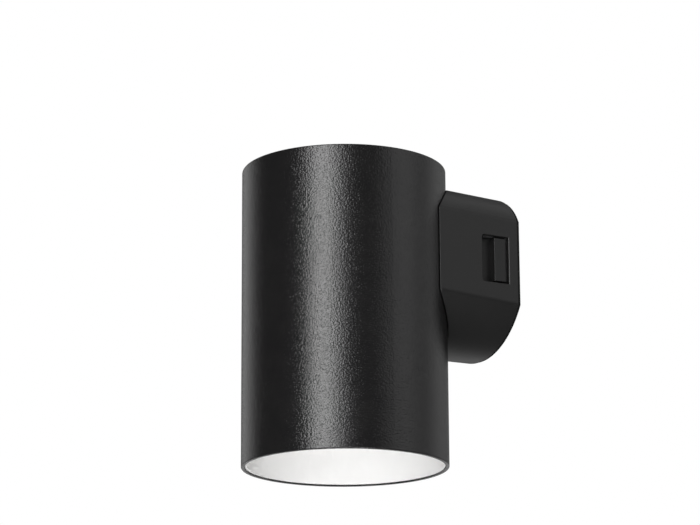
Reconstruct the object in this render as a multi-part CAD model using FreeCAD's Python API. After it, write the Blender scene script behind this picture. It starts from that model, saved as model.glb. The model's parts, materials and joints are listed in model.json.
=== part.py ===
"""Tube wall light: a black tube with a white reflector, carried by a bracket that clips to its wall plate.

Millimetres. The wall is the plane Y = 0 and the light stands out towards -Y, with +Z up and +X
to the right as seen from the room. The origin is the middle of the wall plate's back face.
"""
import FreeCAD, Part
import math
import os

V = FreeCAD.Vector
X_AXIS = V(1, 0, 0)
Y_AXIS = V(0, 1, 0)
Z_AXIS = V(0, 0, 1)

# Tube
tube_outer_diameter = 108.0
tube_wall = 1.8
tube_height = 159.0
tube_top_above_origin = 52.0
tube_axis_from_wall = 83.5
tube_edge_radius = 0.6

# Bracket cover: its outline at the wall, and how it widens towards the tube
bracket_half_width = 40.8
bracket_top = 43.4
bracket_corner_radius = 32.1
bracket_corner_middle = 12.0
bracket_arc_centre = 5.7
bracket_arc_radius = 48.2
side_draft = 2.2
top_draft = 2.2
arc_draft = 0.2
crease_radius = 4.0
cover_edge_radius = 0.4
window_edge_chamfer = 0.25
cover_wall = 2.2
saddle_wall = 2.5
saddle_overlap = 1.6
saddle_edge_clearance = 0.15
saddle_gasket_thickness = 0.6
saddle_gasket_margin = 3.0
saddle_gasket_fit = 0.2

# Wall side
wall_gasket_thickness = 1.6
wall_gasket_inset = 0.5
plate_thickness = 3.2
plate_clearance = 0.4
slot_spacing = 60.0
slot_width = 5.0
slot_length = 9.0
cable_hole_height = 14.0
cable_hole_diameter = 14.0
cable_bore = 8.0
grommet_lip = 1.6
grommet_lip_height = 1.4

# Spring catches, one in a window of each side of the cover
window_height = 25.3
window_middle = 3.25
window_near_wall = 6.9
window_width = 16.5
window_corner_radius = 1.5
catch_recess = 0.6
catch_bar_width = 6.7
catch_slit = 1.9
catch_travel = 2.6
catch_fit = 0.3
catch_end_gap = 1.0
catch_step = 4.2
catch_edge_radius = 0.25
catch_body_length = 9.5
catch_shoulder = 2.8
housing_wall = 2.0
spring_wire = 0.6
spring_outer_diameter = 5.2
spring_turns = 6.0
spring_pocket_depth = 8.0

# Terminal block
terminal_ways = 3
terminal_pitch = 10.0
terminal_height = 15.0
terminal_depth = 14.0
terminal_middle = -4.5
terminal_bore = 3.8
terminal_clamp_wall = 0.5
terminal_screw_diameter = 3.2
terminal_screw_spacing = 8.0
small_screw_diameter = 3.0

# Fasteners through the tube's back
saddle_screw_spacing = 62.0
saddle_screw_middle = -1.0
saddle_screw_diameter = 4.0
saddle_boss_diameter = 9.0
saddle_boss_length = 7.0
screw_head_ratio = 1.9
screw_head_height = 2.4
screw_clearance = 0.2
thread_clearance = 0.05

# Leads
lead_diameter = 2.4
lead_hole_height = -20.0
lead_hole_diameter = 10.0
lead_grommet_bore = 8.6
lead_spread = 2.8
earth_tail = 7.0
lead_from_strap = 5.5
lead_rise_from_hole = 18.0
lead_bend_below_entry = 12.0
lead_bend_forward = 10.0
lead_entry_depth = 8.0
lead_entry_below_top = 6.0
tag_thickness = 0.8
tag_eye_diameter = 6.8
tag_width = 3.2

# Inside the tube
strap_thickness = 2.0
strap_half_angle = 15.5
strap_below_screw = 5.0
strap_reach_past_axis = 19.0
cap_recess = 0.4
cap_thickness = 3.0
cap_skirt_height = 10.0
cap_skirt_wall = 3.0
cap_fit = 0.3
cap_boss_diameter = 10.0
cap_boss_from_strap = 20.0
earth_screw_from_strap = 10.0
seal_section = 2.2
reflector_wall = 1.0
reflector_fit = 0.3
reflector_recess = 0.8
sleeve_below_screw = 16.0
cone_collar_height = 5.0
cone_collar_fit = 0.2
holder_diameter = 40.0
holder_height = 44.0
holder_top_below_tube_top = 13.0
holder_flange_diameter = 46.0
holder_flange_height = 3.0
holder_flange_from_bottom = 11.0
shade_ring_diameter = 54.0
shade_ring_height = 5.0
holder_shell_wall = 0.8
holder_shell_height = 20.0
holder_shell_lip = 2.0
holder_screw_spacing = 24.0
holder_screw_grip = 6.0
holder_screw_hole_spare = 1.0
contact_space = 2.5

# Lamp with an E27 cap
lamp_length = 105.0
lamp_diameter = 60.0
lamp_insertion = 25.0
lamp_tip_height = 1.5
lamp_tip_diameter = 9.5
lamp_insulator_height = 3.0
lamp_shell_height = 19.0
lamp_body_height = 41.5
thread_pitch = 3.629
thread_core_diameter = 24.4
thread_crest_diameter = 26.1
holder_thread_crest_diameter = 25.0
holder_shell_bore = 26.8
lamp_thread_turns = 4.0
holder_thread_turns = 4.0
ridge_root_width = 2.0
ridge_crest_width = 1.1

# Places that follow from the sizes above
tube_radius = tube_outer_diameter / 2
tube_bore_radius = tube_radius - tube_wall
axis_y = -tube_axis_from_wall
tube_top = tube_top_above_origin
rim_z = tube_top - tube_height
saddle_radius = tube_radius + saddle_gasket_thickness
cover_back = -wall_gasket_thickness
plate_front = cover_back - plate_thickness
window_far = window_near_wall + window_width
holder_top = tube_top - holder_top_below_tube_top
holder_bottom = holder_top - holder_height
strap_top = holder_top + strap_thickness
strap_outer_radius = tube_bore_radius - 0.1
strap_inner_radius = strap_outer_radius - strap_thickness
lamp_top = holder_bottom + lamp_insertion
lamp_shell_top = lamp_top - lamp_tip_height - lamp_insulator_height
lamp_shell_bottom = lamp_shell_top - lamp_shell_height
lamp_body_bottom = lamp_shell_bottom - lamp_body_height
lamp_bottom = lamp_top - lamp_length


def block(x_low, x_high, y_low, y_high, z_low, z_high):
    """A box between its low and high sides."""
    return Part.makeBox(x_high - x_low, y_high - y_low, z_high - z_low, V(x_low, y_low, z_low))


def rod(radius, start, direction, length):
    return Part.makeCylinder(radius, length, start, direction)


def tube(outer, inner, z_low, z_high, x=0.0, y=axis_y):
    """An upright round tube, on the light's axis unless another place is given."""
    height = z_high - z_low
    outside = rod(outer, V(x, y, z_low), Z_AXIS, height)
    return outside.cut(rod(inner, V(x, y, z_low), Z_AXIS, height))


def turned(points):
    """The solid of an outline of (radius, height) points turned round the tube's axis."""
    corners = [V(radius, 0, height) for radius, height in points]
    wire = Part.makePolygon(corners + corners[:1])
    solid = Part.Face(wire).revolve(V(0, 0, 0), Z_AXIS, 360)
    solid.translate(V(0, axis_y, 0))
    return solid


def mirrored(shape):
    """The same piece on the other side of the middle plane."""
    return shape.mirror(V(0, 0, 0), X_AXIS)


def pan_screw(diameter, length, head_base, direction):
    """A pan-head screw with a cross recess: its shank runs along direction from the head's base."""
    head_radius = diameter * screw_head_ratio / 2
    shank = rod(diameter / 2, head_base, direction, length)
    head = rod(head_radius, head_base - direction * screw_head_height, direction, screw_head_height)
    screw = shank.fuse(head)
    side = direction.cross(Z_AXIS)
    if side.Length < 0.5:
        side = direction.cross(X_AXIS)
    recess_width = diameter * 0.25
    for angle in (0, 90):
        bar = Part.makeBox(head_radius * 1.1, recess_width, screw_head_height)
        bar.translate(V(-head_radius * 0.55, -recess_width / 2, -screw_head_height / 2))
        bar.rotate(V(0, 0, 0), Z_AXIS, angle)
        turn = FreeCAD.Rotation(Z_AXIS, direction)
        bar.Placement = FreeCAD.Placement(head_base - direction * screw_head_height, turn).multiply(bar.Placement)
        screw = screw.cut(bar)
    return screw.removeSplitter()


def helix_solid(profile_points, pitch, turns, z_low):
    """A ridge or wire of the given (radius, height) outline wound round +Z."""
    first_radius = profile_points[0][0]
    path = Part.makeHelix(pitch, pitch * turns, first_radius)
    corners = [V(radius, 0, height) for radius, height in profile_points]
    profile = Part.makePolygon(corners + corners[:1])
    solid = Part.Wire(path).makePipeShell([profile], True, True)
    solid.translate(V(0, 0, z_low))
    return solid


def outline(distance, inset):
    """The bracket's closed outline at a distance from the wall, inset all round."""
    spread = distance * math.tan(math.radians(side_draft))
    half = bracket_half_width + spread - inset
    top = bracket_top + distance * math.tan(math.radians(top_draft)) - inset
    radius = bracket_arc_radius + distance * math.tan(math.radians(arc_draft)) - inset
    corner = bracket_corner_radius - inset
    corner_x = bracket_corner_middle + spread
    corner_z = top - corner
    crease = bracket_arc_centre - math.sqrt(radius ** 2 - half ** 2)
    shoulder = corner_z + math.sqrt(corner ** 2 - (half - corner_x) ** 2)
    bend = (math.asin((shoulder - corner_z) / corner) + math.pi / 2) / 2
    bend_x = corner_x + corner * math.cos(bend)
    bend_z = corner_z + corner * math.sin(bend)
    y = -distance
    low_left = V(-half, y, crease)
    low_right = V(half, y, crease)
    side_right = V(half, y, shoulder)
    top_right = V(corner_x, y, top)
    top_left = V(-corner_x, y, top)
    side_left = V(-half, y, shoulder)
    return Part.Wire([
        Part.Arc(low_left, V(0, y, bracket_arc_centre - radius), low_right).toShape(),
        Part.LineSegment(low_right, side_right).toShape(),
        Part.Arc(side_right, V(bend_x, y, bend_z), top_right).toShape(),
        Part.LineSegment(top_right, top_left).toShape(),
        Part.Arc(top_left, V(-bend_x, y, bend_z), side_left).toShape(),
        Part.LineSegment(side_left, low_left).toShape(),
    ])


def bracket_form(near, far, inset):
    """The drafted form between two distances from the wall."""
    return Part.makeLoft([outline(near, inset), outline(far, inset)], True, True)


def crease_edges(form):
    """The four edges where a flat side meets the round underside or a rounded shoulder."""
    found = []
    for edge in form.Edges:
        middle = edge.CenterOfMass
        along = edge.Vertexes[0].Point - edge.Vertexes[-1].Point
        if abs(along.y) > 0.9 * along.Length and abs(middle.x) > bracket_half_width * 0.9:
            found.append(edge)
    return found


def saddle_recess(margin, radius, reach):
    """The part of an upright cylinder that lies inside the bracket's form, short of its edges."""
    return bracket_form(wall_gasket_thickness, reach, margin).common(upright_cylinder(radius))


def upright_cylinder(radius):
    return rod(radius, V(0, axis_y, rim_z), Z_AXIS, tube_height)


def saddle_screw_heights():
    return [saddle_screw_middle - saddle_screw_spacing / 2, saddle_screw_middle + saddle_screw_spacing / 2]


def window_cut():
    """The right-hand window: a box through the side wall with rounded corners."""
    z_low = window_middle - window_height / 2
    depth = cover_wall * 4
    x_low = bracket_half_width - cover_wall * 2
    cut = block(x_low, x_low + depth, -window_far, -window_near_wall, z_low, z_low + window_height)
    along_x = [edge for edge in cut.Edges if abs(edge.tangentAt(edge.FirstParameter).x) > 0.9]
    far_edges = [edge for edge in along_x if edge.CenterOfMass.y < -window_far + 0.1]
    return cut.makeFillet(window_corner_radius, far_edges)


def saddle_reach():
    """How far from the wall the bracket's form runs, past the corners where the tube meets its sides."""
    half = bracket_half_width + tube_axis_from_wall * math.tan(math.radians(side_draft))
    return tube_axis_from_wall - math.sqrt(tube_radius ** 2 - half ** 2) + saddle_overlap


def saddle_edges(form):
    """The edge that runs round the tube's saddle."""
    found = []
    for edge in form.Edges:
        ends = [edge.valueAt(edge.FirstParameter), edge.valueAt(edge.LastParameter)]
        reach = [math.hypot(point.x, point.y - axis_y) for point in ends]
        if max(reach) < tube_radius + saddle_edge_clearance + 0.01:
            found.append(edge)
    return found


def window_edges(form):
    """The outer edges of the two windows."""
    found = []
    for edge in form.Edges:
        middle = edge.CenterOfMass
        ends = [edge.valueAt(edge.FirstParameter), edge.valueAt(edge.LastParameter)]
        level = abs(middle.z - window_middle) < window_height / 2 + 0.01
        between = window_near_wall - 0.01 < -middle.y < window_far + 0.01
        outer = min(abs(point.x) for point in ends) > bracket_half_width + 0.01
        if level and between and outer:
            found.append(edge)
    return found


def make_bracket_cover():
    reach = saddle_reach()
    outside = bracket_form(wall_gasket_thickness, reach, 0)
    outside = outside.makeFillet(crease_radius, crease_edges(outside))
    outside = outside.cut(upright_cylinder(tube_radius + saddle_edge_clearance))
    outside = outside.makeFillet(cover_edge_radius, saddle_edges(outside))
    outside = outside.cut(window_cut()).cut(mirrored(window_cut()))
    outside = outside.makeChamfer(window_edge_chamfer, window_edges(outside))
    inside = bracket_form(wall_gasket_thickness, reach, cover_wall)
    inside = inside.cut(upright_cylinder(saddle_radius + saddle_wall))
    cover = outside.cut(saddle_recess(saddle_gasket_margin - saddle_gasket_fit, saddle_radius, reach)).cut(inside)
    boss_start = axis_y + saddle_radius + saddle_wall / 2
    boss_reach = saddle_wall / 2 + saddle_boss_length
    for height in saddle_screw_heights():
        cover = cover.fuse(rod(saddle_boss_diameter / 2, V(0, boss_start, height), Y_AXIS, boss_reach))
    hole_start = axis_y + tube_radius
    for height in saddle_screw_heights():
        radius = saddle_screw_diameter / 2 + thread_clearance
        cover = cover.cut(rod(radius, V(0, hole_start, height), Y_AXIS, saddle_wall + saddle_boss_length))
    cover = cover.cut(rod(lead_hole_diameter / 2, V(0, hole_start, lead_hole_height), Y_AXIS, saddle_wall * 3))
    return cover.removeSplitter()


def make_saddle_gasket():
    gap = 0.05
    gasket = saddle_recess(saddle_gasket_margin, saddle_radius - gap, saddle_reach())
    gasket = gasket.cut(upright_cylinder(tube_radius + gap))
    for height in saddle_screw_heights():
        radius = saddle_screw_diameter / 2 + screw_clearance
        gasket = gasket.cut(rod(radius, V(0, axis_y, height), Y_AXIS, tube_axis_from_wall))
    return gasket.cut(rod(lead_hole_diameter / 2, V(0, axis_y, lead_hole_height), Y_AXIS, tube_axis_from_wall))


def slot_cut(height):
    """An upright slot through the plate and the gasket."""
    radius = slot_width / 2
    half = slot_length / 2 - radius
    depth = plate_thickness + wall_gasket_thickness
    start = plate_front
    cut = block(-radius, radius, start, start + depth, height - half, height + half)
    cut = cut.fuse(rod(radius, V(0, start, height - half), Y_AXIS, depth))
    return cut.fuse(rod(radius, V(0, start, height + half), Y_AXIS, depth)).removeSplitter()


def slot_cuts():
    return [slot_cut(-slot_spacing / 2), slot_cut(slot_spacing / 2)]


def make_wall_gasket():
    wire = outline(0, wall_gasket_inset)
    gasket = Part.Face(wire).extrude(V(0, -wall_gasket_thickness, 0))
    for cut in slot_cuts():
        gasket = gasket.cut(cut)
    return gasket.cut(rod(cable_hole_diameter / 2, V(0, cover_back, cable_hole_height), Y_AXIS, wall_gasket_thickness))


def catch_face():
    """X of the catch's outer face at rest."""
    middle = window_near_wall + catch_slit + catch_bar_width / 2
    return bracket_half_width + middle * math.tan(math.radians(side_draft)) - catch_recess


def catch_body_outer():
    """X of the shoulder that rests on the housing's lip."""
    return bracket_half_width - cover_wall - catch_shoulder


def housing_inner():
    """X of the inner face of the housing's end wall."""
    return catch_body_outer() - catch_body_length - catch_travel - catch_fit * 2


def make_housing():
    """The right-hand guide of a catch: two cheeks, a roof, an end wall and a lip."""
    half = window_height / 2 + housing_wall
    cheek = window_height / 2
    z_low = window_middle - half
    z_high = window_middle + half
    x_low = housing_inner() - housing_wall
    x_high = catch_body_outer() + catch_fit + housing_wall * 0.9
    roof = -window_far - housing_wall
    housing = block(x_low, x_high, roof, plate_front, z_low, z_high)
    passage = block(housing_inner(), x_high, -window_far, plate_front, window_middle - cheek, window_middle + cheek)
    housing = housing.cut(passage)
    lip_reach = -(window_near_wall + catch_slit) + catch_fit
    lip = block(catch_body_outer() + catch_fit, x_high, lip_reach, plate_front, z_low, z_high)
    return housing.fuse(lip)


def terminal_places():
    first = -terminal_pitch * (terminal_ways - 1) / 2
    return [first + terminal_pitch * index for index in range(terminal_ways)]


def terminal_screw_places():
    """X of the screws that hold the block, halfway between its ways."""
    places = terminal_places()
    return [(places[0] + places[1]) / 2, (places[-1] + places[-2]) / 2]


def make_wall_plate():
    wire = outline(wall_gasket_thickness, cover_wall + plate_clearance)
    plate = Part.Face(wire).extrude(V(0, -plate_thickness, 0))
    plate = plate.fuse([make_housing(), mirrored(make_housing())])
    for cut in slot_cuts():
        plate = plate.cut(cut)
    plate = plate.cut(rod(cable_hole_diameter / 2, V(0, plate_front, cable_hole_height), Y_AXIS, plate_thickness))
    for place in terminal_screw_places():
        radius = small_screw_diameter / 2 + thread_clearance
        plate = plate.cut(rod(radius, V(place, plate_front, terminal_middle), Y_AXIS, plate_thickness))
    return plate.removeSplitter()


def make_cable_grommet():
    """A sleeve through the gasket and the plate with a lip on the plate's front."""
    radius = cable_hole_diameter / 2 - 0.1
    grommet = rod(radius, V(0, plate_front, cable_hole_height), Y_AXIS, plate_thickness + wall_gasket_thickness)
    lip_start = V(0, plate_front - grommet_lip_height, cable_hole_height)
    grommet = grommet.fuse(rod(radius + grommet_lip, lip_start, Y_AXIS, grommet_lip_height))
    length = plate_thickness + wall_gasket_thickness + grommet_lip_height
    return grommet.cut(rod(cable_bore / 2, lip_start, Y_AXIS, length)).removeSplitter()


def make_catch():
    """The right-hand catch: a bar and a finger step, on a body with a pocket for the spring."""
    face = catch_face()
    bar_near = -(window_near_wall + catch_slit)
    bar_far = bar_near - catch_bar_width
    body_far = -window_far + catch_fit
    body_near = plate_front - catch_fit
    body_inner = catch_body_outer() - catch_body_length
    half = window_height / 2 - catch_end_gap
    z_low = window_middle - half
    z_high = window_middle + half
    bar = block(catch_body_outer(), face, bar_far, bar_near, z_low, z_high)
    rim = [edge for edge in bar.Edges if edge.CenterOfMass.x > face - 0.01]
    bar = bar.makeFillet(catch_edge_radius, rim)
    step = block(catch_body_outer(), face - catch_step, body_far, bar_far, z_low, z_high)
    half = window_height / 2 - catch_fit
    body = block(body_inner, catch_body_outer(), body_far, body_near, window_middle - half, window_middle + half)
    catch = body.fuse([bar, step])
    pocket_radius = spring_outer_diameter / 2 + catch_fit
    pocket = rod(pocket_radius, V(body_inner, spring_line(), window_middle), X_AXIS, spring_pocket_depth)
    return catch.cut(pocket).removeSplitter()


def spring_line():
    """Y of the spring's axis, in the middle of the catch's body."""
    return (plate_front - window_far) / 2


def make_catch_spring():
    """The right-hand compression spring, from the end wall to the pocket's floor."""
    start = housing_inner() + 0.05
    end = catch_body_outer() - catch_body_length + spring_pocket_depth - 0.05
    mean_radius = (spring_outer_diameter - spring_wire) / 2
    rise = end - start - spring_wire
    path = Part.makeHelix(rise / spring_turns, rise, mean_radius)
    section = Part.Wire(Part.makeCircle(spring_wire / 2, V(mean_radius, 0, 0), Y_AXIS))
    spring = Part.Wire(path).makePipeShell([section], True, True)
    spring.rotate(V(0, 0, 0), Y_AXIS, 90)
    spring.translate(V(start + spring_wire / 2, spring_line(), window_middle))
    return spring


def terminal_wire_line():
    """Y of the wires' axes in the block."""
    return plate_front - terminal_depth / 2


def make_terminal_block():
    half = terminal_pitch * terminal_ways / 2 + 1
    z_low = terminal_middle - terminal_height / 2
    front = plate_front - terminal_depth
    body = block(-half, half, front, plate_front, z_low, z_low + terminal_height)
    for place in terminal_places():
        body = body.cut(rod(terminal_bore / 2, V(place, terminal_wire_line(), z_low), Z_AXIS, terminal_height))
        for offset in (-terminal_screw_spacing / 2, terminal_screw_spacing / 2):
            hole = V(place, front, terminal_middle + offset)
            body = body.cut(rod(terminal_screw_diameter / 2 + 0.1, hole, Y_AXIS, terminal_depth / 2))
    for place in terminal_screw_places():
        hole = V(place, front, terminal_middle)
        body = body.cut(rod(small_screw_diameter / 2 + screw_clearance, hole, Y_AXIS, terminal_depth))
        counterbore = small_screw_diameter * screw_head_ratio / 2 + screw_clearance
        body = body.cut(rod(counterbore, hole, Y_AXIS, screw_head_height + 1))
    return body


def make_terminal_clamps():
    clamps = []
    outer = terminal_bore / 2 - 0.05
    for place in terminal_places():
        z_low = terminal_middle - terminal_height / 2 + 1
        clamp = tube(outer, outer - terminal_clamp_wall, z_low, z_low + terminal_height - 2,
                     place, terminal_wire_line())
        clamps.append(clamp)
    return Part.makeCompound(clamps)


def make_terminal_screws():
    screws = []
    start = plate_front - terminal_depth + 1.2
    length = terminal_wire_line() - terminal_bore / 2 - start
    for place in terminal_places():
        for offset in (-terminal_screw_spacing / 2, terminal_screw_spacing / 2):
            height = terminal_middle + offset
            screw = rod(terminal_screw_diameter / 2, V(place, start, height), Y_AXIS, length)
            slot = block(place - terminal_screw_diameter, place + terminal_screw_diameter, start, start + 0.8,
                         height - 0.3, height + 0.3)
            screws.append(screw.cut(slot))
    return Part.makeCompound(screws)


def make_terminal_fixings():
    base = plate_front - terminal_depth + screw_head_height + 1
    length = plate_front - base + plate_thickness - 0.3
    screws = []
    for place in terminal_screw_places():
        screws.append(pan_screw(small_screw_diameter, length, V(place, base, terminal_middle), Y_AXIS))
    return Part.makeCompound(screws)


def make_tube_shell():
    shell = tube(tube_radius, tube_bore_radius, rim_z, tube_top)
    outer_edges = [edge for edge in shell.Edges
                   if edge.Curve.TypeId == "Part::GeomCircle" and edge.Curve.Radius > tube_bore_radius + 0.1]
    shell = shell.makeFillet(tube_edge_radius, outer_edges)
    start = axis_y + tube_bore_radius - 1
    for height in saddle_screw_heights():
        radius = saddle_screw_diameter / 2 + screw_clearance
        shell = shell.cut(rod(radius, V(0, start, height), Y_AXIS, tube_wall + 2))
    return shell.cut(rod(lead_hole_diameter / 2, V(0, start, lead_hole_height), Y_AXIS, tube_wall + 2))


def make_saddle_screws():
    """Screws from inside the tube into the bosses of the bracket cover."""
    edge_sag = strap_inner_radius - math.sqrt(strap_inner_radius ** 2 - (saddle_screw_diameter * screw_head_ratio / 2) ** 2)
    base = axis_y + strap_inner_radius - edge_sag - 0.05
    tip = axis_y + saddle_radius + saddle_wall + saddle_boss_length - 2
    screws = [pan_screw(saddle_screw_diameter, tip - base, V(0, base, height), Y_AXIS)
              for height in saddle_screw_heights()]
    return Part.makeCompound(screws)


def make_lead_grommet():
    """A rubber sleeve that lines the leads' hole through the tube and the cover."""
    radius = lead_hole_diameter / 2 - 0.1
    start = axis_y + strap_outer_radius + 0.3
    end = axis_y + saddle_radius + saddle_wall + 0.6
    sleeve = rod(radius, V(0, start, lead_hole_height), Y_AXIS, end - start)
    sleeve = sleeve.fuse(rod(radius + 1.2, V(0, end, lead_hole_height), Y_AXIS, 1.2))
    return sleeve.cut(rod(lead_grommet_bore / 2, V(0, start, lead_hole_height), Y_AXIS, end - start + 1.2))


def strap_width():
    return 2 * strap_inner_radius * math.sin(math.radians(strap_half_angle))


def cap_screw_y():
    return axis_y + strap_inner_radius - cap_boss_from_strap


def earth_place():
    """The earth screw's place on the strap, between the cap's screw and the leg."""
    return V(0, axis_y + strap_inner_radius - earth_screw_from_strap, holder_top)


def make_holder_strap():
    """A rolled leg on the tube's back wall and a flat arm over the lamp holder."""
    leg_low = saddle_screw_heights()[0] - strap_below_screw
    leg = tube(strap_outer_radius, strap_inner_radius, leg_low, strap_top)
    half = strap_width() / 2
    leg = leg.common(block(-half, half, axis_y, 0, leg_low, strap_top))
    arm = block(-half, half, axis_y - strap_reach_past_axis, 0, holder_top, strap_top)
    arm = arm.common(upright_cylinder(strap_outer_radius - strap_thickness / 2))
    strap = leg.fuse(arm)
    for height in saddle_screw_heights():
        radius = saddle_screw_diameter / 2 + screw_clearance
        strap = strap.cut(rod(radius, V(0, axis_y, height), Y_AXIS, tube_axis_from_wall))
    strap = strap.cut(rod(lead_hole_diameter / 2 + 1, V(0, axis_y, lead_hole_height), Y_AXIS, tube_axis_from_wall))
    for place in holder_screw_places():
        strap = strap.cut(rod(small_screw_diameter / 2 + screw_clearance, place, Z_AXIS, strap_thickness))
    cap_hole = V(0, cap_screw_y(), holder_top)
    strap = strap.cut(rod(saddle_screw_diameter / 2 + screw_clearance, cap_hole, Z_AXIS, strap_thickness))
    strap = strap.cut(rod(small_screw_diameter / 2 + thread_clearance, earth_place(), Z_AXIS, strap_thickness))
    return strap.removeSplitter()


def holder_screw_places():
    half = holder_screw_spacing / 2
    return [V(0, axis_y - half, holder_top), V(0, axis_y + half, holder_top)]


def make_holder_screws():
    base = strap_top
    screws = []
    for place in holder_screw_places():
        start = V(place.x, place.y, base)
        screws.append(pan_screw(small_screw_diameter, strap_thickness + holder_screw_grip, start, V(0, 0, -1)))
    return Part.makeCompound(screws)


def seal_middle():
    """Height of the middle of the cap's seal."""
    return tube_top - cap_recess - cap_thickness - cap_skirt_height / 2


def make_top_cap():
    top = tube_top - cap_recess
    underside = top - cap_thickness
    outer = tube_bore_radius - cap_fit
    cap = rod(outer, V(0, axis_y, underside), Z_AXIS, cap_thickness)
    skirt = tube(outer, outer - cap_skirt_wall, underside - cap_skirt_height + cap_thickness, underside)
    cap = cap.fuse(skirt)
    groove_half = seal_section / 2 + 0.15
    groove_floor = tube_bore_radius - seal_section - 0.1
    cap = cap.cut(tube(outer + 1, groove_floor, seal_middle() - groove_half, seal_middle() + groove_half))
    boss = rod(cap_boss_diameter / 2, V(0, cap_screw_y(), strap_top), Z_AXIS, underside - strap_top)
    cap = cap.fuse(boss)
    hole = rod(saddle_screw_diameter / 2 + thread_clearance, V(0, cap_screw_y(), strap_top), Z_AXIS,
               underside - strap_top)
    cap = cap.cut(hole)
    return cap.removeSplitter()


def make_top_cap_seal():
    radius = tube_bore_radius - seal_section / 2 - 0.05
    return Part.makeTorus(radius, seal_section / 2, V(0, axis_y, seal_middle()))


def make_top_cap_screw():
    start = V(0, cap_screw_y(), holder_top)
    return pan_screw(saddle_screw_diameter, strap_thickness + 5.5, start, Z_AXIS)


def make_earth_tag():
    place = earth_place()
    low = place - Z_AXIS * tag_thickness
    eye = rod(tag_eye_diameter / 2, low, Z_AXIS, tag_thickness)
    half = tag_width / 2
    tail = block(place.x - half, place.x + half, place.y, place.y + earth_tail, low.z, place.z)
    hole = rod(small_screw_diameter / 2 + screw_clearance, low, Z_AXIS, tag_thickness)
    return eye.fuse(tail).cut(hole).removeSplitter()


def make_earth_screw():
    start = earth_place() - Z_AXIS * tag_thickness
    return pan_screw(small_screw_diameter, strap_thickness + tag_thickness * 2, start, Z_AXIS)


def flange_underside():
    """Height of the face of the holder's flange on which the cone's crown bears."""
    return holder_bottom + holder_flange_from_bottom


def make_lamp_holder():
    """The holder's body: a cup for the threaded shell, a flange for the reflector, two lead holes."""
    radius = holder_diameter / 2
    body = rod(radius, V(0, axis_y, holder_bottom), Z_AXIS, holder_height)
    flange = rod(holder_flange_diameter / 2, V(0, axis_y, flange_underside()), Z_AXIS, holder_flange_height)
    body = body.fuse(flange)
    cup_radius = holder_shell_bore / 2 + holder_shell_wall + thread_clearance
    cup_depth = lamp_insertion + contact_space
    body = body.cut(rod(cup_radius, V(0, axis_y, holder_bottom), Z_AXIS, cup_depth))
    for place in holder_screw_places():
        depth = holder_screw_grip + holder_screw_hole_spare
        start = place - Z_AXIS * depth
        body = body.cut(rod(small_screw_diameter / 2 + thread_clearance, start, Z_AXIS, depth))
    for side in (-1, 1):
        start = lead_entry(side)
        body = body.cut(rod(lead_diameter / 2 + 0.3, start, V(0, -1, 0), lead_entry_depth))
    return body.removeSplitter()


def lead_entry(side):
    """Where a lead enters the holder's back, left (-1) or right (1) of the middle."""
    x = side * holder_diameter / 5
    y = axis_y + math.sqrt((holder_diameter / 2) ** 2 - x ** 2)
    return V(x, y + 0.5, holder_top - lead_entry_below_top)


def make_holder_shell():
    """The holder's threaded shell, whose ridge winds between the ridges of the lamp's cap."""
    inner = holder_shell_bore / 2
    z_low = holder_bottom + holder_shell_lip
    shell = tube(inner + holder_shell_wall, inner, z_low, z_low + holder_shell_height)
    ridge = thread_ridge(inner + 0.3, holder_thread_crest_diameter / 2, holder_thread_turns,
                         lamp_thread_start() + thread_pitch / 2)
    return shell.fuse(ridge)


def lamp_thread_start():
    return lamp_shell_bottom + 1.6


def thread_ridge(root_radius, crest_radius, turns, z_low):
    """A trapezoid ridge from root to crest, wound on the tube's axis."""
    root = ridge_root_width / 2
    crest = ridge_crest_width / 2
    points = [(root_radius, -root), (root_radius, root), (crest_radius, crest), (crest_radius, -crest)]
    ridge = helix_solid(points, thread_pitch, turns, z_low)
    ridge.translate(V(0, axis_y, 0))
    return ridge


def make_holder_contact():
    """The sprung centre contact: a strip that stands on the cup's floor and meets the lamp's tip."""
    z_low = lamp_top + 0.1
    ceiling = holder_bottom + lamp_insertion + contact_space
    strip = block(-3, 3, axis_y - 6, axis_y + 6, z_low, z_low + 0.6)
    riser = block(-3, 3, axis_y + 5.4, axis_y + 6, z_low, ceiling)
    return strip.fuse(riser).removeSplitter()


def sleeve_top():
    return saddle_screw_heights()[0] - sleeve_below_screw


def make_reflector_sleeve():
    """The white sleeve that lines the tube's mouth."""
    outer = tube_bore_radius - reflector_fit
    return tube(outer, outer - reflector_wall, rim_z + reflector_recess, sleeve_top())


def make_reflector_cone():
    """White cone: a collar in the sleeve's top, the cone and a flat crown under the holder's flange."""
    outer = tube_bore_radius - reflector_fit - reflector_wall - cone_collar_fit
    inner = outer - reflector_wall
    low = sleeve_top() - cone_collar_height
    bend = sleeve_top()
    crown_top = flange_underside()
    crown_low = crown_top - reflector_wall
    hole = holder_diameter / 2 + 0.2
    crown_edge = shade_ring_diameter / 2 + 1.5
    slope = math.atan2(crown_top - bend, outer - crown_edge)
    shift = reflector_wall / math.sin(slope)
    return turned([
        (outer, low),
        (outer, bend),
        (crown_edge, crown_top),
        (hole, crown_top),
        (hole, crown_low),
        (crown_edge + reflector_wall - shift, crown_low),
        (inner, bend - 0.3),
        (inner, low),
    ])


def make_shade_ring():
    """The ring on the holder's skirt that clamps the cone's crown from below."""
    top = flange_underside() - reflector_wall
    return tube(shade_ring_diameter / 2, holder_diameter / 2 + 0.1, top - shade_ring_height, top)


def make_lamp_tip():
    radius = lamp_tip_diameter / 2
    return turned([(0, lamp_top), (radius * 0.7, lamp_top), (radius, lamp_top - 0.7),
                   (radius, lamp_top - lamp_tip_height), (0, lamp_top - lamp_tip_height)])


def make_lamp_insulator():
    top = lamp_top - lamp_tip_height
    return turned([(0, top), (lamp_tip_diameter / 2 + 0.6, top), (thread_core_diameter / 2 - 2.5, lamp_shell_top),
                   (0, lamp_shell_top)])


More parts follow.
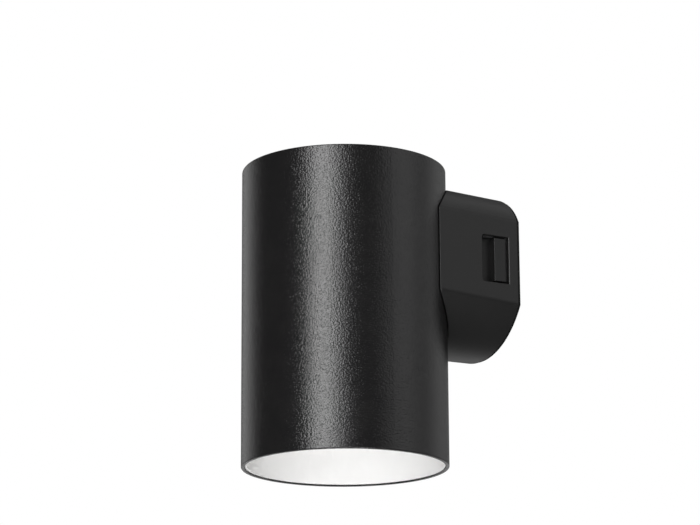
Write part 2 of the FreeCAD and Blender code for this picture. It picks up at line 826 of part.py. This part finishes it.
def make_lamp_cap():
    core = rod(thread_core_diameter / 2, V(0, axis_y, lamp_shell_bottom), Z_AXIS, lamp_shell_height)
    rim = [edge for edge in core.Edges
           if edge.Curve.TypeId == "Part::GeomCircle" and edge.CenterOfMass.z > lamp_shell_top - 0.1]
    core = core.makeChamfer(1.2, rim)
    ridge = thread_ridge(thread_core_diameter / 2 - 0.3, thread_crest_diameter / 2, lamp_thread_turns,
                         lamp_thread_start())
    return core.fuse(ridge)


def make_lamp_body():
    """The lamp's plastic-clad heat sink: a neck that flares out to the globe."""
    neck = thread_core_diameter / 2 + 0.4
    seat = lamp_diameter / 2 - 1
    low = lamp_body_bottom
    top = lamp_shell_bottom
    start = V(neck, 0, top - 4)
    bend = V(neck + (seat - neck) * 0.42, 0, top - 4 - (top - 4 - low) * 0.55)
    end = V(seat, 0, low)
    wire = Part.Wire([
        Part.LineSegment(V(0, 0, top), V(neck, 0, top)).toShape(),
        Part.LineSegment(V(neck, 0, top), start).toShape(),
        Part.Arc(start, bend, end).toShape(),
        Part.LineSegment(end, V(0, 0, low)).toShape(),
        Part.LineSegment(V(0, 0, low), V(0, 0, top)).toShape(),
    ])
    body = Part.Face(wire).revolve(V(0, 0, 0), Z_AXIS, 360)
    body.translate(V(0, axis_y, 0))
    return body


def make_lamp_globe():
    """The opal globe: a dome below the heat sink, hollow like a real one."""
    radius = lamp_diameter / 2
    wall = 1.2
    centre = lamp_bottom + radius
    outside = Part.makeSphere(radius, V(0, axis_y, centre))
    inside = Part.makeSphere(radius - wall, V(0, axis_y, centre))
    above = rod(radius + 1, V(0, axis_y, lamp_body_bottom), Z_AXIS, radius * 2)
    return outside.cut(inside).cut(above)


def lead_tube(points):
    """A round lead along straight runs joined by arcs as large as the runs allow."""
    edges = []
    current = points[0]
    for index in range(1, len(points) - 1):
        before = points[index] - points[index - 1]
        after = points[index + 1] - points[index]
        turn = before.getAngle(after)
        shorter = min(before.Length, after.Length)
        radius = 0.45 * shorter / math.tan(turn / 2)
        cut = radius * math.tan(turn / 2)
        before.normalize()
        after.normalize()
        start = points[index] - before * cut
        end = points[index] + after * cut
        inward = after - before
        inward.normalize()
        middle = points[index] + inward * (radius / math.cos(turn / 2) - radius)
        edges.append(Part.LineSegment(current, start).toShape())
        edges.append(Part.Arc(start, middle, end).toShape())
        current = end
    edges.append(Part.LineSegment(current, points[-1]).toShape())
    path = Part.Wire(edges)
    direction = points[1] - points[0]
    section = Part.Wire(Part.makeCircle(lead_diameter / 2, points[0], direction))
    return path.makePipeShell([section], True, False)


def lead_start(place):
    """The straight way out of the terminal block and through the grommet, as far as the tube's inside."""
    wire_y = terminal_wire_line()
    z_block = terminal_middle - terminal_height / 2
    side = 0 if place == 0 else math.copysign(lead_spread, place)
    inside = axis_y + strap_inner_radius
    return [
        V(place, wire_y, z_block + 3),
        V(place, wire_y, lead_hole_height),
        V(side, axis_y + saddle_radius + saddle_wall + 4, lead_hole_height),
        V(side, inside - 1, lead_hole_height),
    ]


def lead_line():
    """Y of the leads where they run upwards in front of the strap."""
    return axis_y + strap_inner_radius - lead_from_strap


def make_holder_lead(side):
    """The live (-1) or neutral (1) lead, up behind the reflector to the holder."""
    place = terminal_places()[0] if side < 0 else terminal_places()[-1]
    entry = lead_entry(side)
    behind = lead_line()
    points = lead_start(place)
    points[-1] = V(points[-1].x, behind, lead_hole_height)
    points.append(V(entry.x, behind, lead_hole_height + lead_rise_from_hole))
    points.append(V(entry.x, behind, entry.z - lead_bend_below_entry))
    points.append(V(entry.x, behind - lead_bend_forward, entry.z))
    points.append(V(entry.x, entry.y - lead_entry_depth * 0.75, entry.z))
    return lead_tube(points)


def make_earth_lead():
    """The earth lead, from the middle way to the tag on the strap."""
    tag = earth_place()
    points = lead_start(0)[:2]
    points.append(V(0, lead_line(), lead_hole_height))
    points.append(V(0, tag.y + earth_tail * 0.7, tag.z - 1))
    return lead_tube(points)


def build():
    catch = make_catch()
    spring = make_catch_spring()
    return {
        "wall_gasket": make_wall_gasket(),
        "wall_plate": make_wall_plate(),
        "cable_grommet": make_cable_grommet(),
        "catch_right": catch,
        "catch_left": mirrored(catch),
        "catch_spring_right": spring,
        "catch_spring_left": mirrored(spring),
        "terminal_block": make_terminal_block(),
        "terminal_clamps": make_terminal_clamps(),
        "terminal_screws": make_terminal_screws(),
        "terminal_fixings": make_terminal_fixings(),
        "bracket_cover": make_bracket_cover(),
        "saddle_gasket": make_saddle_gasket(),
        "saddle_screws": make_saddle_screws(),
        "lead_grommet": make_lead_grommet(),
        "tube_shell": make_tube_shell(),
        "top_cap": make_top_cap(),
        "top_cap_seal": make_top_cap_seal(),
        "top_cap_screw": make_top_cap_screw(),
        "holder_strap": make_holder_strap(),
        "holder_screws": make_holder_screws(),
        "lamp_holder": make_lamp_holder(),
        "holder_shell": make_holder_shell(),
        "holder_contact": make_holder_contact(),
        "reflector_sleeve": make_reflector_sleeve(),
        "reflector_cone": make_reflector_cone(),
        "shade_ring": make_shade_ring(),
        "lead_live": make_holder_lead(-1),
        "lead_neutral": make_holder_lead(1),
        "lead_earth": make_earth_lead(),
        "earth_tag": make_earth_tag(),
        "earth_screw": make_earth_screw(),
        "lamp_tip": make_lamp_tip(),
        "lamp_insulator": make_lamp_insulator(),
        "lamp_cap": make_lamp_cap(),
        "lamp_body": make_lamp_body(),
        "lamp_globe": make_lamp_globe(),
    }


os.makedirs("parts", exist_ok=True)
for node, shape in build().items():
    shape.exportStep("parts/" + node + ".step")
    print(node, len(shape.Solids), round(shape.Volume, 1), shape.isValid())
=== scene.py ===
"""Looks of the tube wall light: materials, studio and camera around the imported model. Metres.

The wall is the plane Y = 0, the light stands out towards -Y and +Z is up.
"""
from collections import namedtuple
import json
import math

import bpy
from mathutils import Matrix, Vector


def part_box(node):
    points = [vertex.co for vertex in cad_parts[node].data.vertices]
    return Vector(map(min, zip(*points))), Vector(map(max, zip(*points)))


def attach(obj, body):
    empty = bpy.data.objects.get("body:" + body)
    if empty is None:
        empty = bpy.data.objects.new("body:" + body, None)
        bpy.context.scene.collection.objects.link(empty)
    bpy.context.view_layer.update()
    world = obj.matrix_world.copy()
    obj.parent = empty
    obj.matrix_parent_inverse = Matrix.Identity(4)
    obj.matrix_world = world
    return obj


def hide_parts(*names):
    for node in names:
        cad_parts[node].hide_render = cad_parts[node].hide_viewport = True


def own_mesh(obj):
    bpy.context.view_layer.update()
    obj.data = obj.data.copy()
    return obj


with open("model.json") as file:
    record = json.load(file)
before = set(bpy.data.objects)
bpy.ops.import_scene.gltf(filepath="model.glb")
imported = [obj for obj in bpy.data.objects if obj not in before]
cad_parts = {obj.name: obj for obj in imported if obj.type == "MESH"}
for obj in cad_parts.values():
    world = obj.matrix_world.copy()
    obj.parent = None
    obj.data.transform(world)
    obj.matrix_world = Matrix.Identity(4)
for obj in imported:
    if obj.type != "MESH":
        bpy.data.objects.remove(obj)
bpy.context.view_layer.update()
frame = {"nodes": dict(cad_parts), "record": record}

MM = 0.001

tube_low, tube_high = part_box("tube_shell")
TUBE_AXIS = Vector(((tube_low.x + tube_high.x) / 2, (tube_low.y + tube_high.y) / 2, 0))
TUBE_RADIUS = (tube_high.x - tube_low.x) / 2
RIM_HEIGHT = tube_low.z

# Camera: where the photograph was taken from, measured from the tube's axis and lower rim.
# Its angles are in degrees.
CAMERA_DISTANCE = 1.451
CAMERA_AZIMUTH = 62.57
CAMERA_BELOW_RIM = 0.2754
CAMERA_PITCH = 14.878
CAMERA_YAW = 0.12
CAMERA_ROLL = -0.306
CAMERA_REACH = 50
FOCAL_LENGTH_IN_PIXELS = 2846.9
PICTURE_WIDTH = 700
SENSOR_WIDTH = 36.0

# Floor and backdrop. A strength of 1 is white.
FLOOR_BELOW_RIM = 1.1
FLOOR_SIZE = 60.0
FLOOR_TONE = 1.0
FLOOR_SHADING = 0.12    # the share of its own shading that the camera sees on the floor
WORLD_SEEN = 1.0
WORLD_LIGHT = 0.16
WORLD_GLOSS = 0.06      # what the black paint mirrors is a darker room than the backdrop

# The beam into the tube's mouth
BEAM_DISTANCE = 1.0
BEAM_POWER = 38.0
BEAM_SHARE_OF_MOUTH = 0.9
BEAM_BLEND = 0.3
BEAM_SOURCE_RADIUS = 0.01

# The soft boxes. Seen from the tube, turn is a box's bearing from the camera's side, + to the
# right, and climb its height angle, both in degrees.
AIM_ABOVE_RIM = 0.08
SoftBox = namedtuple("SoftBox", "name turn climb distance width tall radiance")
SOFT_BOXES = (
    SoftBox("key", -24, 15, 1.6, 0.57, 1.6, 8.6),
    SoftBox("key_edge", -7, 15, 1.6, 0.25, 1.6, 1.8),
    SoftBox("left_back", -140, 10, 1.8, 1.2, 1.6, 0.60),
    SoftBox("right_side", 68, 24, 1.8, 1.3, 1.6, 0.80),
    SoftBox("right_back", 120, 12, 1.8, 1.5, 1.6, 0.42),
    SoftBox("back", 162, 12, 1.8, 0.9, 1.6, 0.16),
    SoftBox("back_low", 180, -16, 1.8, 1.6, 0.6, 0.6),
    SoftBox("back_lower", -178, -36, 1.8, 1.0, 0.7, 0.5),
    SoftBox("top_back", 120, 64, 1.4, 1.0, 1.0, 0.55),
    SoftBox("front_below", -4, -40, 1.2, 1.2, 0.5, 6.6),
)


# ---------------------------------------------------------------- making a material
def grey(value):
    return (value, value, value)


def darker(colour, share):
    return [channel * share for channel in colour]


class Finish:
    """A procedural material in the making. Its patterns lie in the piece's own coordinates."""

    def __init__(self, name):
        self.material = bpy.data.materials.new(name)
        self.material.use_nodes = True
        self.nodes = self.material.node_tree.nodes
        self.links = self.material.node_tree.links
        self.shader = self.nodes["Principled BSDF"]
        self.place = self.nodes.new("ShaderNodeTexCoord").outputs["Object"]

    def set(self, socket, value):
        self.shader.inputs[socket].default_value = value

    def noise(self, scale, detail=2.0, roughness=0.5):
        """A cloudy pattern. Its scale is in cycles a metre."""
        node = self.nodes.new("ShaderNodeTexNoise")
        node.inputs["Scale"].default_value = scale
        node.inputs["Detail"].default_value = detail
        node.inputs["Roughness"].default_value = roughness
        self.links.new(self.place, node.inputs["Vector"])
        return node.outputs["Fac"]

    def bands(self, scale):
        """A pattern of straight bands."""
        node = self.nodes.new("ShaderNodeTexWave")
        node.inputs["Scale"].default_value = scale
        self.links.new(self.place, node.inputs["Vector"])
        return node.outputs["Fac"]

    def tint(self, pattern, low, high, start=0.3, end=0.7):
        """The base colour runs from low to high as the pattern goes from start to end."""
        node = self.nodes.new("ShaderNodeValToRGB")
        first, last = node.color_ramp.elements
        first.position = start
        first.color = (*low, 1.0)
        last.position = end
        last.color = (*high, 1.0)
        self.links.new(pattern, node.inputs["Fac"])
        self.links.new(node.outputs["Color"], self.shader.inputs["Base Color"])

    def vary_roughness(self, pattern, low, high):
        node = self.nodes.new("ShaderNodeMapRange")
        node.inputs["To Min"].default_value = low
        node.inputs["To Max"].default_value = high
        self.links.new(pattern, node.inputs["Value"])
        self.links.new(node.outputs["Result"], self.shader.inputs["Roughness"])

    def relief(self, *layers):
        """Bumps the surface with layers of (pattern, height), each on the one before."""
        normal = None
        for pattern, height in layers:
            node = self.nodes.new("ShaderNodeBump")
            node.inputs["Distance"].default_value = height
            self.links.new(pattern, node.inputs["Height"])
            if normal is not None:
                self.links.new(normal, node.inputs["Normal"])
            normal = node.outputs["Normal"]
        self.links.new(normal, self.shader.inputs["Normal"])


# ---------------------------------------------------------------- materials
def tube_paint():
    """Semi-gloss black powder coat with a fine pebbled skin."""
    paint = Finish("tube_paint")
    pebble = paint.noise(scale=1220.0, detail=1.0)
    swell = paint.noise(scale=700.0)
    cloud = paint.noise(scale=90.0, detail=3.0, roughness=0.6)
    paint.tint(cloud, low=(0.0060, 0.0058, 0.0061), high=(0.0080, 0.0077, 0.0078))
    paint.vary_roughness(pebble, low=0.17, high=0.25)
    paint.relief((swell, 0.02 * MM), (pebble, 0.22 * MM))
    paint.set("Specular IOR Level", 0.5)
    return paint.material


def moulded_black(name, colour, roughness, grain, specular=0.5):
    """Matt black moulded plastic. The height of its fine eroded grain is in metres."""
    plastic = Finish(name)
    fine = plastic.noise(scale=2600.0, roughness=0.6)
    cloud = plastic.noise(scale=40.0, detail=3.0, roughness=0.55)
    plastic.tint(cloud, low=darker(colour, 0.88), high=colour)
    plastic.vary_roughness(cloud, low=roughness - 0.04, high=roughness + 0.06)
    plastic.relief((fine, grain))
    plastic.set("Specular IOR Level", specular)
    return plastic.material


def rubber():
    """Dull black rubber of the seals and grommets. Its near-black tone is partly the rubber's own black
    and partly painted shade, standing in for the shade of the gap between the bracket and the wall.
    """
    seal = Finish("seal_rubber")
    cells = seal.noise(scale=1500.0, detail=3.0, roughness=0.7)
    # painted shade: this tone is darker than the rubber's own black, to stand in for the shade of the
    # gap along the wall
    seal.tint(cells, low=grey(0.0040), high=grey(0.0070))
    seal.relief((cells, 0.12 * MM))
    seal.set("Roughness", 0.85)
    seal.set("Specular IOR Level", 0.2)
    return seal.material


def white_enamel():
    """Smooth satin white enamel of the reflector."""
    enamel = Finish("reflector_white")
    cloud = enamel.noise(scale=35.0)
    skin = enamel.noise(scale=500.0)
    enamel.tint(cloud, low=(0.875, 0.87, 0.865), high=(0.91, 0.907, 0.902))
    enamel.vary_roughness(cloud, low=0.38, high=0.48)
    enamel.relief((skin, 0.03 * MM))
    return enamel.material


def metal(name, colour, roughness, grain):
    """Bare or plated metal with a fine grain, whose height is in metres."""
    finish = Finish(name)
    cloud = finish.noise(scale=180.0, detail=3.0, roughness=0.6)
    fine = finish.noise(scale=1800.0, roughness=0.6)
    finish.tint(cloud, low=darker(colour, 0.85), high=colour)
    finish.vary_roughness(cloud, low=roughness * 0.8, high=roughness * 1.25)
    finish.relief((fine, grain))
    finish.set("Metallic", 1.0)
    return finish.material


def gloss_plastic(name, colour, roughness, opal=0.0):
    """Smooth moulded plastic. Opal is the share of light that goes some way into it."""
    plastic = Finish(name)
    cloud = plastic.noise(scale=60.0)
    plastic.tint(cloud, low=darker(colour, 0.95), high=colour)
    plastic.vary_roughness(cloud, low=roughness * 0.85, high=roughness * 1.2)
    if opal:
        plastic.set("Subsurface Weight", opal)
        plastic.set("Subsurface Radius", grey(4 * MM))
    return plastic.material


def striped_lead(name, colour, stripe):
    """Lead insulation in one colour with stripes of another."""
    lead = Finish(name)
    lead.tint(lead.bands(scale=160.0), low=colour, high=stripe, start=0.48, end=0.52)
    lead.set("Roughness", 0.45)
    return lead.material


def make_materials():
    """The material of each slot of the record, and cap_plastic for the top cap."""
    return {
        "tube_paint": tube_paint(),
        "bracket_plastic": moulded_black(
            "bracket_plastic", (0.0060, 0.0059, 0.0059), roughness=0.42, grain=0.05 * MM, specular=0.46),
        "catch_plastic": moulded_black(
            "catch_plastic", (0.0045, 0.0045, 0.0045), roughness=0.40, grain=0.02 * MM, specular=0.44),
        "plate_plastic": moulded_black(
            "plate_plastic", (0.0350, 0.0350, 0.0360), roughness=0.55, grain=0.06 * MM),
        "cap_plastic": moulded_black(
            "cap_plastic", (0.0140, 0.0138, 0.0140), roughness=0.80, grain=0.12 * MM, specular=0.12),
        "seal_rubber": rubber(),
        "reflector_white": white_enamel(),
        "zinc_steel": metal("zinc_steel", (0.60, 0.60, 0.58), roughness=0.35, grain=0.025 * MM),
        "spring_steel": metal("spring_steel", (0.52, 0.52, 0.53), roughness=0.25, grain=0.01 * MM),
        "brass": metal("brass", (0.76, 0.58, 0.27), roughness=0.3, grain=0.01 * MM),
        "nickel": metal("nickel", (0.70, 0.68, 0.63), roughness=0.28, grain=0.01 * MM),
        "terminal_plastic": gloss_plastic("terminal_plastic", (0.78, 0.75, 0.68), roughness=0.4),
        "holder_plastic": gloss_plastic("holder_plastic", (0.78, 0.77, 0.74), roughness=0.32),
        "lamp_insulator": gloss_plastic("lamp_insulator", (0.015, 0.015, 0.018), roughness=0.15),
        "lamp_white": gloss_plastic("lamp_white", (0.82, 0.82, 0.81), roughness=0.3),
        "lamp_opal": gloss_plastic("lamp_opal", (0.9, 0.9, 0.88), roughness=0.35, opal=0.4),
        "lead_brown": gloss_plastic("lead_brown", (0.12, 0.05, 0.022), roughness=0.42),
        "lead_blue": gloss_plastic("lead_blue", (0.02, 0.09, 0.35), roughness=0.42),
        "lead_earth": striped_lead("lead_earth", (0.08, 0.26, 0.03), stripe=(0.72, 0.6, 0.05)),
    }


def dress_nodes(materials):
    """Every CAD node takes the material of its slot, and the top cap a duller plastic."""
    slot_of = {part["node"]: part["material_slot"] for part in frame["record"]["subparts"]}
    slot_of["top_cap"] = "cap_plastic"
    for name, node in frame["nodes"].items():
        node.data.materials.clear()
        node.data.materials.append(materials[slot_of[name]])


def make_coil(side):
    """A catch's spring as a mesh of its own on the fixture, in place of its hidden CAD node. The real
    spring shortens towards its fixed end as the catch is pressed.
    """
    node = frame["nodes"]["catch_spring_" + side]
    coil = bpy.data.objects.new("coil_" + side, node.data.copy())
    bpy.context.scene.collection.objects.link(coil)
    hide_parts(node.name)
    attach(coil, "fixture")
    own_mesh(coil)


# ---------------------------------------------------------------- studio
def floor_material():
    """Plain pale card with a faint tooth, which the camera sees lighter than its own shading."""
    card = Finish("floor_pale")
    card.tint(card.noise(scale=30.0), low=grey(0.30), high=grey(0.32))
    card.set("Roughness", 0.9)
    card.set("Specular IOR Level", 0.1)
    nodes = card.nodes
    links = card.links
    glow = nodes.new("ShaderNodeEmission")
    glow.inputs["Color"].default_value = (*grey(FLOOR_TONE), 1.0)
    path = nodes.new("ShaderNodeLightPath")
    seen = nodes.new("ShaderNodeMath")
    seen.operation = "MULTIPLY"
    seen.inputs[1].default_value = 1 - FLOOR_SHADING
    mix = nodes.new("ShaderNodeMixShader")
    links.new(path.outputs["Is Camera Ray"], seen.inputs[0])
    links.new(seen.outputs["Value"], mix.inputs["Fac"])
    links.new(card.shader.outputs["BSDF"], mix.inputs[1])
    links.new(glow.outputs["Emission"], mix.inputs[2])
    links.new(mix.outputs["Shader"], nodes["Material Output"].inputs["Surface"])
    return card.material


def make_floor():
    floor_height = RIM_HEIGHT - FLOOR_BELOW_RIM
    bpy.ops.mesh.primitive_plane_add(size=FLOOR_SIZE, location=(0, 0, floor_height))
    floor = bpy.context.object
    floor.name = "floor"
    floor.data.materials.append(floor_material())


def make_world():
    """White to the camera and through clear material, a dim room to gloss, and an even light."""
    world = bpy.data.worlds.new("studio")
    bpy.context.scene.world = world
    world.use_nodes = True
    nodes = world.node_tree.nodes
    links = world.node_tree.links
    path = nodes.new("ShaderNodeLightPath")
    unseen = nodes.new("ShaderNodeMix")
    unseen.inputs["A"].default_value = WORLD_LIGHT
    unseen.inputs["B"].default_value = WORLD_GLOSS
    links.new(path.outputs["Is Glossy Ray"], unseen.inputs["Factor"])
    seen = nodes.new("ShaderNodeMath")
    seen.operation = "MAXIMUM"
    links.new(path.outputs["Is Camera Ray"], seen.inputs[0])
    links.new(path.outputs["Is Transmission Ray"], seen.inputs[1])
    strength = nodes.new("ShaderNodeMix")
    strength.inputs["B"].default_value = WORLD_SEEN
    links.new(unseen.outputs["Result"], strength.inputs["A"])
    links.new(seen.outputs["Value"], strength.inputs["Factor"])
    background = nodes["Background"]
    background.inputs["Color"].default_value = (*grey(1), 1)
    links.new(strength.outputs["Result"], background.inputs["Strength"])


def camera_directions():
    """The camera's right, up and forward directions."""
    azimuth = math.radians(CAMERA_AZIMUTH)
    pitch = math.radians(CAMERA_PITCH)
    yaw = math.radians(CAMERA_YAW)
    roll = math.radians(CAMERA_ROLL)
    across = Vector((math.cos(azimuth), math.sin(azimuth), 0))
    inward = Vector((-math.sin(azimuth), math.cos(azimuth), 0))
    level = across * math.sin(yaw) + inward * math.cos(yaw)
    forward = level * math.cos(pitch) + Vector((0, 0, math.sin(pitch)))
    level_right = across * math.cos(yaw) - inward * math.sin(yaw)
    level_up = level_right.cross(forward)
    right = level_right * math.cos(roll) + level_up * math.sin(roll)
    up = level_up * math.cos(roll) - level_right * math.sin(roll)
    return right, up, forward


def make_camera():
    """A camera where the photograph was taken from, looking up at the light from its right."""
    azimuth = math.radians(CAMERA_AZIMUTH)
    right, up, forward = camera_directions()
    place = TUBE_AXIS + Vector((math.sin(azimuth), -math.cos(azimuth), 0)) * CAMERA_DISTANCE
    place.z = RIM_HEIGHT - CAMERA_BELOW_RIM
    data = bpy.data.cameras.new("camera")
    data.sensor_width = SENSOR_WIDTH
    data.lens = FOCAL_LENGTH_IN_PIXELS / PICTURE_WIDTH * SENSOR_WIDTH
    data.clip_end = CAMERA_REACH
    camera = bpy.data.objects.new("camera", data)
    bpy.context.scene.collection.objects.link(camera)
    turn = Matrix((right, up, -forward)).transposed()
    camera.matrix_world = Matrix.Translation(place) @ turn.to_4x4()
    bpy.context.scene.camera = camera


def make_soft_box(box):
    """An area light that is aimed at the tube."""
    bearing = math.radians(CAMERA_AZIMUTH + box.turn)
    climb = math.radians(box.climb)
    target = TUBE_AXIS + Vector((0, 0, RIM_HEIGHT + AIM_ABOVE_RIM))
    outward = Vector((math.sin(bearing) * math.cos(climb),
                      -math.cos(bearing) * math.cos(climb),
                      math.sin(climb)))
    data = bpy.data.lights.new(box.name, "AREA")
    data.shape = "RECTANGLE"
    data.size = box.width
    data.size_y = box.tall
    data.energy = box.radiance * math.pi * box.width * box.tall
    light = bpy.data.objects.new(box.name, data)
    bpy.context.scene.collection.objects.link(light)
    light.location = target + outward * box.distance
    light.rotation_euler = (-outward).to_track_quat("-Z", "Y").to_euler()


def make_mouth_beam():
    """A narrow beam from below that reaches only the tube's open mouth."""
    data = bpy.data.lights.new("mouth_beam", "SPOT")
    data.energy = BEAM_POWER
    data.spot_size = 2 * math.atan(TUBE_RADIUS * BEAM_SHARE_OF_MOUTH / BEAM_DISTANCE)
    data.spot_blend = BEAM_BLEND
    data.shadow_soft_size = BEAM_SOURCE_RADIUS
    light = bpy.data.objects.new("mouth_beam", data)
    bpy.context.scene.collection.objects.link(light)
    light.location = TUBE_AXIS + Vector((0, 0, RIM_HEIGHT - BEAM_DISTANCE))
    light.rotation_euler = (math.pi, 0, 0)


dress_nodes(make_materials())
make_coil("right")
make_coil("left")
make_floor()
make_world()
make_camera()
for box in SOFT_BOXES:
    make_soft_box(box)
make_mouth_beam()
bpy.context.scene.view_settings.view_transform = "Standard"
